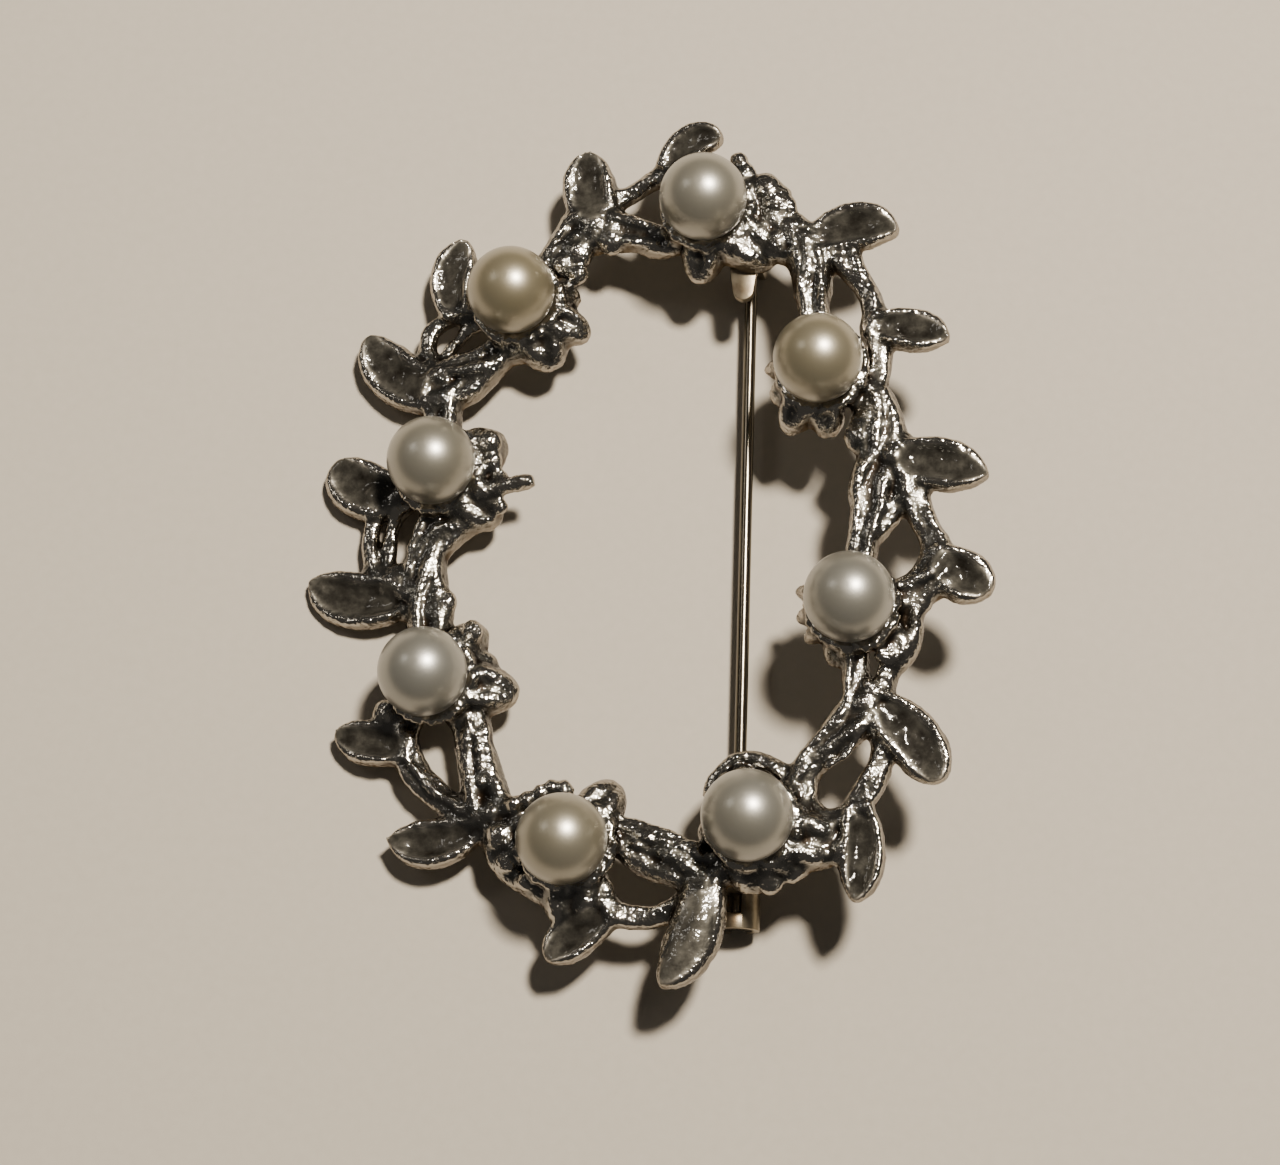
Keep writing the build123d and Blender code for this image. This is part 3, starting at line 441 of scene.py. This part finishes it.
def smoothed(values, rounds, share=0.5):
    """Values moved towards the mean of their neighbours on the fused mesh."""
    for _ in range(rounds):
        total = np.zeros_like(values)
        for axis in range(values.shape[1]):
            total[:, axis] = (np.bincount(edges[:, 0], values[edges[:, 1], axis], count)
                              + np.bincount(edges[:, 1], values[edges[:, 0], axis], count))
        values = values + share * (total / degree - values)
    return values


def normals_of(values):
    """Vertex normals of the fused mesh."""
    a, b, c, d = (values[corners[:, k]] for k in range(4))
    face_normals = np.cross(c - a, d - b)
    total = np.zeros_like(values)
    for k in range(4):
        for axis in range(3):
            total[:, axis] += np.bincount(corners[:, k], face_normals[:, axis], count)
    return total / np.linalg.norm(total, axis=1, keepdims=True)


def depth(values, rounds):
    """How far each point lies under the mean of what surrounds it, in millimetres."""
    return np.sum((smoothed(values, rounds) - values) * normals_of(values), axis=1)


points = smoothed(points, 2)
filled = np.clip(smoothed(depth(points, 8)[:, None], 2) * fill_rate, 0, full_fill)
points = points + filled * (smoothed(points, 10) - points) / full_fill
points = smoothed(points, 1)
normals = normals_of(points)
above = np.clip(points[:, 2:] * 3, 0, 1)
lumpy = np.array([noise.fractal(Vector(p) * 1.1, 1.0, 2.0, 3) for p in points])
grainy = np.array([noise.noise(Vector(p) * 3.2) for p in points])
points = points + normals * (skin + lump_depth * lumpy + grain_depth * grainy)[:, None] * above
for place in PEARLS:
    away = points - spot(*place, pearl_height)
    distance = np.linalg.norm(away, axis=1)
    inside = distance < seat_radius
    points[inside] += away[inside] * (seat_radius / distance[inside] - 1)[:, None]

# What the antiquing goes by is kept on the mesh: how deep each point lies in a hollow or low on a
# wall and the leaves' dished faces. Also kept: the sides facing the camera and the left, which get a painted
# tan reflection
dish_edge, dish_blend = 0.74, 0.30  # shares of a leaf's half width
dish_depth, dish_pull = 0.020, 0.85  # the even tone that the dished faces are drawn to
wall_depth = 0.20
narrow_hollows, wide_hollows = depth(points, 12), depth(points, 90)
hollow = 2.4 * narrow_hollows + 0.35 * wide_hollows
facing = normals_of(points)
lean = facing[:, 2]
walls = np.clip(1 - lean / 0.6, 0, 1) * np.clip(3 + 4 * lean, 0, 1)
# Painted reflection: sides facing the camera and the left are marked for a tan colour that stands in for the
# reflection of a wooden table
front_left_facing = np.clip(0.75 - 0.48 * facing[:, 0] - 0.64 * facing[:, 1], 0, 1)
tan_reflection = smoothed((walls * front_left_facing * np.clip(1 - hollow / 0.14, 0, 1))[:, None], 3)[:, 0]
hollow = smoothed((hollow + wall_depth * walls)[:, None], 1)[:, 0]
dished = np.zeros(count)
for places, halves, share in leaf_faces:
    apart = np.linalg.norm(points[:, None, :2] - places, axis=2) / halves
    dished = np.maximum(dished, share * np.clip((dish_edge - apart.min(axis=1)) / dish_blend, 0, 1))
dished *= np.clip(2.5 * lean - 1, 0, 1)
hollow += dish_pull * dished * (dish_depth - hollow)

# The wreath is modelled flat, in millimetres, with its back at height 0, and then laid down
# leaning. Its directions and middle come from the stem's hinge, whose place in the flat wreath,
# across, up and in height, is known.
MM = 0.001
swing = next(joint for joint in frame["joints"] if joint["name"] == "stem_swing")
hinge = np.array([5.1, 19.0, -3.2])
axes = np.array([Vector(swing["axis"]).normalized(), (0, 1, 0), (0, 0, 0)])
axes[2] = np.cross(axes[0], axes[1])
middle = np.array(swing["pos_m"]) / MM - hinge @ axes


def flat_piece(name, vertices, faces, material, body):
    """A smooth-shaded piece from points in the flat wreath's millimetres."""
    mesh = bpy.data.meshes.new(name)
    mesh.from_pydata(((np.asarray(vertices) @ axes + middle) * MM).tolist(), [], faces)
    mesh.materials.append(material)
    mesh.shade_smooth()
    piece = bpy.data.objects.new(name, mesh)
    bpy.context.collection.objects.link(piece)
    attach(piece, body)
    return piece


def colour(code):
    """Linear colour of an sRGB hex code."""
    parts = [int(code[k:k + 2], 16) / 255 for k in (1, 3, 5)]
    return tuple(c / 12.92 if c <= 0.04045 else ((c + 0.055) / 1.055) ** 2.4 for c in parts) + (1.0,)


def new_material(name):
    """A material with its principled shader."""
    material = bpy.data.materials.new(name)
    material.use_nodes = True
    return material, material.node_tree.nodes["Principled BSDF"]


def add_node(material, kind, links, **values):
    """Adds a shader node, sets its properties or sockets, and links or sets its inputs, which may
    be given by name or by number."""
    made = material.node_tree.nodes.new(kind)
    for name, value in values.items():
        if hasattr(made, name):
            setattr(made, name, value)
        else:
            made.inputs[name.replace("_", " ")].default_value = value
    for name, source in links.items():
        if isinstance(source, (int, float, tuple)):
            made.inputs[name].default_value = source
        else:
            material.node_tree.links.new(source, made.inputs[name])
    return made


# White metal, plated dark silver, dipped black, rubbed and lacquered: the high edges are worn
# bright, the leaves' dishes stay satin grey and the hollows sooty brown. The sides that face the
# camera and the left get a painted reflection: they are mixed towards the tan of a wooden table.
# The lacquer is glossy over grains of a quarter of a millimetre, which catch the lamp as specks.
blotch_width, grain_width = 1.1 * MM, 0.24 * MM
grain_height, bead_rise = 0.09 * MM, 0.13 * MM  # in the metal and in the lacquer
casting_metal, shader = new_material("white_metal_casting_antiqued_silver")
place_node = add_node(casting_metal, "ShaderNodeTexCoord", {}).outputs["Object"]
hollow_node = add_node(casting_metal, "ShaderNodeAttribute", {}, attribute_name="hollow").outputs["Fac"]
dished_node = add_node(casting_metal, "ShaderNodeAttribute", {}, attribute_name="dished").outputs["Fac"]
tan_reflection_node = add_node(casting_metal, "ShaderNodeAttribute", {}, attribute_name="tan_reflection").outputs["Fac"]
blotches = add_node(casting_metal, "ShaderNodeTexNoise", {"Vector": place_node},
                    Scale=1 / blotch_width, Detail=5.0, Roughness=0.65).outputs["Fac"]
soot = add_node(casting_metal, "ShaderNodeMath", {0: blotches, 1: 0.30, 2: hollow_node},
                operation="MULTIPLY_ADD").outputs[0]

# From worn silver on the high edges, through gunmetal grey, to soot in the hollows
tone = add_node(casting_metal, "ShaderNodeValToRGB", {"Fac": soot})
tone.color_ramp.elements[0].position = 0.0
tone.color_ramp.elements[0].color = colour("#b3ada2")
tone.color_ramp.elements[1].position = 0.35
tone.color_ramp.elements[1].color = colour("#150f09")
for position, code in ((0.09, "#615f58"), (0.18, "#403e39"), (0.26, "#1f1a14")):
    tone.color_ramp.elements.new(position).color = colour(code)
# Painted reflection: on the sides facing the camera and the left the tone is mixed towards tan, the colour of
# a wooden table they would reflect
painted_reflection = add_node(casting_metal, "ShaderNodeMath", {0: tan_reflection_node, 1: 0.85}, operation="MULTIPLY").outputs[0]
tone_and_reflection = add_node(casting_metal, "ShaderNodeMix", {"Factor": painted_reflection, 6: tone.outputs[0], 7: colour("#8a7a62")},
                 data_type="RGBA")
casting_metal.node_tree.links.new(tone_and_reflection.outputs[2], shader.inputs["Base Color"])
shader.inputs["Metallic"].default_value = 1.0

# Rougher with soot, on the dished faces and under the painted tan reflection
rough = add_node(casting_metal, "ShaderNodeMapRange", {"Value": soot, 1: 0.0, 2: 0.24, 3: 0.15, 4: 0.46})
satin = add_node(casting_metal, "ShaderNodeMath", {0: dished_node, 1: 0.50, 2: rough.outputs[0]},
                 operation="MULTIPLY_ADD")
matte = add_node(casting_metal, "ShaderNodeMath", {0: painted_reflection, 1: 0.20, 2: satin.outputs[0]},
                 operation="MULTIPLY_ADD")
casting_metal.node_tree.links.new(matte.outputs[0], shader.inputs["Roughness"])

# The lacquer is rubbed thin on the dished faces and soaks away in the soot
lacquer = add_node(casting_metal, "ShaderNodeMapRange", {"Value": soot, 1: 0.20, 2: 0.34, 3: 1.0, 4: 0.15})
thin = add_node(casting_metal, "ShaderNodeMath", {0: dished_node, 1: -0.65, 2: lacquer.outputs[0]},
                operation="MULTIPLY_ADD", use_clamp=True)
casting_metal.node_tree.links.new(thin.outputs[0], shader.inputs["Coat Weight"])
shader.inputs["Coat Roughness"].default_value = 0.12
shader.inputs["Coat IOR"].default_value = 2.0
shader.inputs["Specular Tint"].default_value = colour("#8f8070")

# Grains in the metal and in the lacquer over it, both calmer on the dished faces
pits = add_node(casting_metal, "ShaderNodeTexNoise", {"Vector": place_node},
                Scale=1 / grain_width, Detail=0.8)
calm = add_node(casting_metal, "ShaderNodeMath", {0: dished_node, 1: -0.75, 2: 1.0},
                operation="MULTIPLY_ADD")
uneven = add_node(casting_metal, "ShaderNodeMapRange",
                  {"Value": hollow_node, 1: -0.20, 2: 0.02, 3: 0.60, 4: 0.18})
even = add_node(casting_metal, "ShaderNodeMath", {0: uneven.outputs[0], 1: calm.outputs[0]},
                operation="MULTIPLY")
grain = add_node(casting_metal, "ShaderNodeBump",
                 {"Height": pits.outputs["Fac"], "Strength": even.outputs[0]}, Distance=grain_height)
casting_metal.node_tree.links.new(grain.outputs[0], shader.inputs["Normal"])
beads = add_node(casting_metal, "ShaderNodeMapRange",
                 {"Value": hollow_node, 1: -0.10, 2: 0.12, 3: 1.0, 4: 0.40})
few = add_node(casting_metal, "ShaderNodeMath", {0: beads.outputs[0], 1: calm.outputs[0]},
               operation="MULTIPLY")
runs = add_node(casting_metal, "ShaderNodeBump",
                {"Height": pits.outputs["Fac"], "Strength": few.outputs[0]}, Distance=bead_rise)
casting_metal.node_tree.links.new(runs.outputs[0], shader.inputs["Coat Normal"])

casting = flat_piece("casting", points, quads, casting_metal, "casting")
for name, kept in (("hollow", hollow), ("dished", dished), ("tan_reflection", tan_reflection)):
    casting.data.attributes.new(name, "FLOAT", "POINT").data.foreach_set("value", kept.astype(np.float32))
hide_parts("wreath")

# Pearls: glass balls dipped in a cream nacre lacquer and glued into the cups. The lacquer is
# satin over a pearly undercoat, has faint clouds, and has yellowed more on some than on others.
yellowing = [0.25, 0.85, 0.05, 0.10, 0.60, 0.0, 0.30, 1.0]
cloud_width, dust_width = 2.6 * MM, 0.22 * MM
pearl_lacquer, shader = new_material("imitation_pearl_nacre_lacquer")
place_node = add_node(pearl_lacquer, "ShaderNodeTexCoord", {}).outputs["Object"]
age_node = add_node(pearl_lacquer, "ShaderNodeAttribute", {}, attribute_name="yellowing").outputs["Fac"]
clouds = add_node(pearl_lacquer, "ShaderNodeTexNoise", {"Vector": place_node},
                  Scale=1 / cloud_width, Detail=2.0)
clouded = add_node(pearl_lacquer, "ShaderNodeMath", {0: clouds.outputs["Fac"], 1: 0.5, 2: age_node},
                   operation="MULTIPLY_ADD")
aged = add_node(pearl_lacquer, "ShaderNodeMapRange", {"Value": clouded.outputs[0], 1: 0.1, 2: 1.3})
tint = add_node(pearl_lacquer, "ShaderNodeMix",
                {"Factor": aged.outputs[0], 6: colour("#84847e"), 7: colour("#847b60")}, data_type="RGBA")
pearl_lacquer.node_tree.links.new(tint.outputs[2], shader.inputs["Base Color"])
dust = add_node(pearl_lacquer, "ShaderNodeTexNoise", {"Vector": place_node},
                Scale=1 / dust_width, Detail=2.0)
lustre = add_node(pearl_lacquer, "ShaderNodeMapRange", {"Value": dust.outputs["Fac"], 3: 0.33, 4: 0.39})
pearl_lacquer.node_tree.links.new(lustre.outputs[0], shader.inputs["Roughness"])
orange_peel = add_node(pearl_lacquer, "ShaderNodeBump", {"Height": dust.outputs["Fac"]},
                       Strength=0.25, Distance=0.02 * MM)
pearl_lacquer.node_tree.links.new(orange_peel.outputs[0], shader.inputs["Normal"])
shader.inputs["Metallic"].default_value = 0.62
shader.inputs["IOR"].default_value = 1.45
shader.inputs["Coat Weight"].default_value = 1.0
shader.inputs["Coat Roughness"].default_value = 0.32
shader.inputs["Coat IOR"].default_value = 2.1

around = 64
levels = np.linspace(0, pi, 41)[1:-1]
ball_faces = []
for level in range(len(levels) - 1):
    for k in range(around):
        a, b = level * around + k, level * around + (k + 1) % around
        ball_faces.append((a, a + around, b + around, b))
last = len(levels) * around - 1
ball_faces += [tuple(range(around)), tuple(range(last, last - around, -1))]
for number, place in enumerate(PEARLS, 1):
    centre = spot(*place, pearl_height)
    vertices = [centre + pearl_radius * np.array([sin(a) * cos(t), sin(a) * sin(t), cos(a)])
                for a in levels for t in np.linspace(0, TAU, around + 1)[:-1]]
    pearl = flat_piece(f"pearl_ball_{number}", vertices, ball_faces, pearl_lacquer, "casting")
    pearl.data.attributes.new("yellowing", "FLOAT", "POINT").data.foreach_set(
        "value", np.full(len(vertices), yellowing[number - 1], np.float32))
    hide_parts(f"pearl_{number}")

# Joint: a plate with a rounded tongue and two ears that hold the rivet, stamped from brass
# sheet, nickel plated and soldered to the casting's back.
sheet = 0.4  # thickness of the plates and ears
plate_bite = 0.15  # how deep the plates are sunk in the solder
plate_half_width, plate_heel = 0.875, 1.35
tongue_reach, tongue_tip_radius = 3.8, 0.6
ear_radius, ear_across = 1.25, 0.6  # across is from the stem's middle to the middle of each ear
rivet_bore = 0.37
through = 4.0  # length of the tools that cut right through a finding


def stamping(name, outline, origin, out, up, thickness, material=None):
    """A flat-sided solid: an outline in the plane of two directions, thickened both ways."""
    thick = np.cross(out, up) * thickness / 2
    flat = [np.asarray(origin) + a * np.asarray(out) + b * np.asarray(up) for a, b in outline]
    size = len(flat)
    faces = [tuple(range(size - 1, -1, -1)), tuple(range(size, 2 * size))]
    faces += [(k, (k + 1) % size, (k + 1) % size + size, k + size) for k in range(size)]
    mesh = bpy.data.meshes.new(name)
    mesh.from_pydata([tuple(p - thick) for p in flat] + [tuple(p + thick) for p in flat], [], faces)
    mesh.materials.append(material)
    piece = bpy.data.objects.new(name, mesh)
    bpy.context.collection.objects.link(piece)
    return piece


def box_outline(left, right, bottom, top):
    """The corners of a rectangle, counter-clockwise from the lower left."""
    return [(left, bottom), (right, bottom), (right, top), (left, top)]


def arc(radius, first, last, count=24):
    """Points of an arc, between two angles in degrees."""
    return [(radius * cos(radians(t)), radius * sin(radians(t))) for t in np.linspace(first, last, count)]


def work(piece, tool, operation):
    """Adds a tool to a piece or cuts it out, and takes the tool away."""
    step = piece.modifiers.new(operation, "BOOLEAN")
    step.operation = operation
    step.object = tool
    step.solver = "EXACT"
    mesh = bpy.data.meshes.new_from_object(piece.evaluated_get(bpy.context.evaluated_depsgraph_get()))
    piece.modifiers.clear()
    piece.data = mesh
    bpy.data.objects.remove(tool)


def finding(piece, edge, body):
    """Rounds a solid's edges, lays it down with the wreath and makes it ride."""
    bevel = piece.modifiers.new("edges", "BEVEL")
    bevel.width = edge
    bevel.segments = 2
    bevel.limit_method = "ANGLE"
    mesh = bpy.data.meshes.new_from_object(piece.evaluated_get(bpy.context.evaluated_depsgraph_get()))
    piece.modifiers.clear()
    piece.data = mesh
    for vertex in mesh.vertices:
        vertex.co = (np.array(vertex.co) @ axes + middle) * MM
    mesh.shade_smooth()
    mesh.set_sharp_from_angle(angle=radians(35))
    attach(piece, body)


# Nickel plating over brass: bright, a little yellow, softly hazed, with fine draw marks and
# brown tarnish in patches of a millimetre or two
tarnish_width, mark_width = 1.6 * MM, 0.2 * MM
nickel, shader = new_material("brass_sheet_nickel_plated")
place_node = add_node(nickel, "ShaderNodeTexCoord", {}).outputs["Object"]
patches = add_node(nickel, "ShaderNodeTexNoise", {"Vector": place_node}, Scale=1 / tarnish_width, Detail=4.0)
tarnish = add_node(nickel, "ShaderNodeMapRange", {"Value": patches.outputs["Fac"], 1: 0.50, 2: 0.72})
tone = add_node(nickel, "ShaderNodeMix",
                {"Factor": tarnish.outputs[0], 6: colour("#938976"), 7: colour("#574531")}, data_type="RGBA")
nickel.node_tree.links.new(tone.outputs[2], shader.inputs["Base Color"])
haze = add_node(nickel, "ShaderNodeMapRange", {"Value": patches.outputs["Fac"], 3: 0.28, 4: 0.46})
nickel.node_tree.links.new(haze.outputs[0], shader.inputs["Roughness"])
marks = add_node(nickel, "ShaderNodeTexNoise", {"Vector": place_node}, Scale=1 / mark_width, Detail=2.0)
marked = add_node(nickel, "ShaderNodeBump", {"Height": marks.outputs["Fac"]},
                  Strength=0.25, Distance=0.02 * MM)
nickel.node_tree.links.new(marked.outputs[0], shader.inputs["Normal"])
shader.inputs["Metallic"].default_value = 1.0

plate_outline = [(-plate_half_width, -ear_radius), (-plate_half_width, plate_heel),
                 (plate_half_width, plate_heel), (plate_half_width, -ear_radius)]
plate_outline += [(x, y + tongue_tip_radius - tongue_reach) for x, y in arc(tongue_tip_radius, 0, -180)]
joint = stamping("joint_plate", plate_outline, (hinge[0], hinge[1], (plate_bite - sheet) / 2),
                 (1, 0, 0), (0, 1, 0), sheet + plate_bite, nickel)
ear_top = -hinge[2] - sheet / 2
ear_outline = arc(ear_radius, -180, 0) + [(ear_radius, ear_top), (-ear_radius, ear_top)]
for side in (-1, 1):
    ear = stamping("ear", ear_outline, hinge + (side * ear_across, 0, 0), (0, 1, 0), (0, 0, 1), sheet)
    work(joint, ear, "UNION")
bore = stamping("bore", arc(rivet_bore, 0, 360, 25)[:-1], hinge, (0, 1, 0), (0, 0, 1), through)
work(joint, bore, "DIFFERENCE")
finding(joint, 0.06, "casting")

# Catch: two collars on a stalk and a plate, turned and stamped from brass and nickel plated
# like the joint. A slot lets the stem in, and the window between the collars shows the roller.
roll = next(joint for joint in frame["joints"] if joint["name"] == "catch_roll")
catch = (np.array(roll["pos_m"]) / MM - middle) @ axes.T
collar_radius, collar_bore = 1.30, 0.88
collar_length, collar_gap = 0.85, 1.1
stalk_half_width, foot_half_width, slot_half_width = 0.65, 1.1, 0.47
window_right, window_bottom, window_top = 0.43, -0.27, 2.4
past_collar = 3  # how far the cutting tools stand out beside and below the collars
across, upward = (1, 0, 0), (0, 0, 1)
housing = stamping("catch_housing", arc(collar_radius, 0, 360, 49)[:-1], catch, across, upward,
                   2 * collar_length + collar_gap, nickel)
stalk = stamping("stalk", box_outline(-stalk_half_width, stalk_half_width, 0, -catch[2] - sheet / 2),
                 catch + (0, (collar_gap + collar_length) / 2, 0), across, upward, collar_length)
work(housing, stalk, "UNION")
plate = stamping("plate", box_outline(-foot_half_width, foot_half_width, 0, 2 * collar_length),
                 (catch[0], catch[1] + collar_gap / 2, (plate_bite - sheet) / 2), across, (0, 1, 0),
                 sheet + plate_bite)
work(housing, plate, "UNION")
bore = stamping("bore", arc(collar_bore, 0, 360, 49)[:-1], catch, across, upward, through)
work(housing, bore, "DIFFERENCE")
slot = box_outline(-slot_half_width, slot_half_width, -past_collar, 0)
work(housing, stamping("slot", slot, catch, across, upward, through), "DIFFERENCE")
window = box_outline(-past_collar, window_right, window_bottom, window_top)
work(housing, stamping("window", window, catch, across, upward, collar_gap), "DIFFERENCE")
finding(housing, 0.05, "casting")

# Stem, rivet and roller: drawn steel wire, nickel plated, and darker than the joint from
# handling. The wire shows fine draw lines along its length.
line_width, line_length, wear_width = 0.12 * MM, 4 * MM, 2.5 * MM
wire, shader = new_material("steel_wire_nickel_plated")
place_node = add_node(wire, "ShaderNodeTexCoord", {}).outputs["Object"]
stretched = add_node(wire, "ShaderNodeMapping", {"Vector": place_node}, vector_type="POINT")
stretched.inputs["Scale"].default_value = (1 / line_width, 1 / line_length, 1 / line_width)
lines = add_node(wire, "ShaderNodeTexNoise", {"Vector": stretched.outputs[0]}, Scale=1.0, Detail=3.0)
wear = add_node(wire, "ShaderNodeTexNoise", {"Vector": place_node}, Scale=1 / wear_width, Detail=3.0)
tone = add_node(wire, "ShaderNodeMix",
                {"Factor": wear.outputs["Fac"], 6: colour("#57524a"), 7: colour("#766f62")}, data_type="RGBA")
wire.node_tree.links.new(tone.outputs[2], shader.inputs["Base Color"])
haze = add_node(wire, "ShaderNodeMapRange", {"Value": lines.outputs["Fac"], 3: 0.14, 4: 0.26})
wire.node_tree.links.new(haze.outputs[0], shader.inputs["Roughness"])
drawn = add_node(wire, "ShaderNodeBump", {"Height": lines.outputs["Fac"]}, Strength=0.2, Distance=0.01 * MM)
wire.node_tree.links.new(drawn.outputs[0], shader.inputs["Normal"])
shader.inputs["Metallic"].default_value = 1.0
for name in ("pin_stem", "pin_rivet", "catch_roller"):
    node_mesh = frame["nodes"][name].data
    node_mesh.materials.clear()
    node_mesh.materials.append(wire)

# Floor, light and camera: pale matt paper with a faint fibre, a small soft lamp high above the
# upper right, a weak fill from the left, and a camera that looks down from nearly straight above.
fibre_width = 0.6 * MM
floor_paper, shader = new_material("floor_pale_paper")
place_node = add_node(floor_paper, "ShaderNodeTexCoord", {}).outputs["Object"]
fibres = add_node(floor_paper, "ShaderNodeTexNoise", {"Vector": place_node},
                  Scale=1 / fibre_width, Detail=3.0)
tone = add_node(floor_paper, "ShaderNodeMix",
                {"Factor": fibres.outputs["Fac"], 6: colour("#aea79b"), 7: colour("#b6afa3")},
                data_type="RGBA")
floor_paper.node_tree.links.new(tone.outputs[2], shader.inputs["Base Color"])
shader.inputs["Roughness"].default_value = 0.9
bpy.ops.mesh.primitive_plane_add(size=3.0)
floor = bpy.context.object
floor.name = "floor"
floor.data.materials.append(floor_paper)


def area_light(name, place, size, power, tint):
    """A square light that faces the brooch, placed in millimetres."""
    light = bpy.data.lights.new(name, "AREA")
    light.size = size * MM
    light.energy = power
    light.color = colour(tint)[:3]
    lamp = bpy.data.objects.new(name, light)
    lamp.location = Vector(place) * MM
    lamp.rotation_euler = (-lamp.location).to_track_quat("-Z", "Y").to_euler()
    bpy.context.collection.objects.link(lamp)


area_light("key", (78, 98, 330), 42, 2.9, "#fff3e2")
area_light("fill", (-260, 120, 260), 60, 0.06, "#fff8ee")
world = bpy.data.worlds.new("studio")
world.use_nodes = True
world.node_tree.nodes["Background"].inputs["Color"].default_value = colour("#8a8681")
world.node_tree.nodes["Background"].inputs["Strength"].default_value = 0.26
bpy.context.scene.world = world

aim = np.array([-0.156, -2.328, 4.0])
back = np.array([-0.00706, -0.25882, 0.96590])
up = np.array([-0.03504, 0.96539, 0.25843])
distance = 160.065
camera = bpy.data.objects.new("camera", bpy.data.cameras.new("camera"))
camera.data.lens = 80.1
camera.data.clip_start = 0.01
turned = Matrix((np.cross(up, back), up, back)).transposed().to_4x4()
camera.matrix_world = Matrix.Translation(Vector((aim + back * distance) * MM)) @ turned
bpy.context.collection.objects.link(camera)
bpy.context.scene.camera = camera
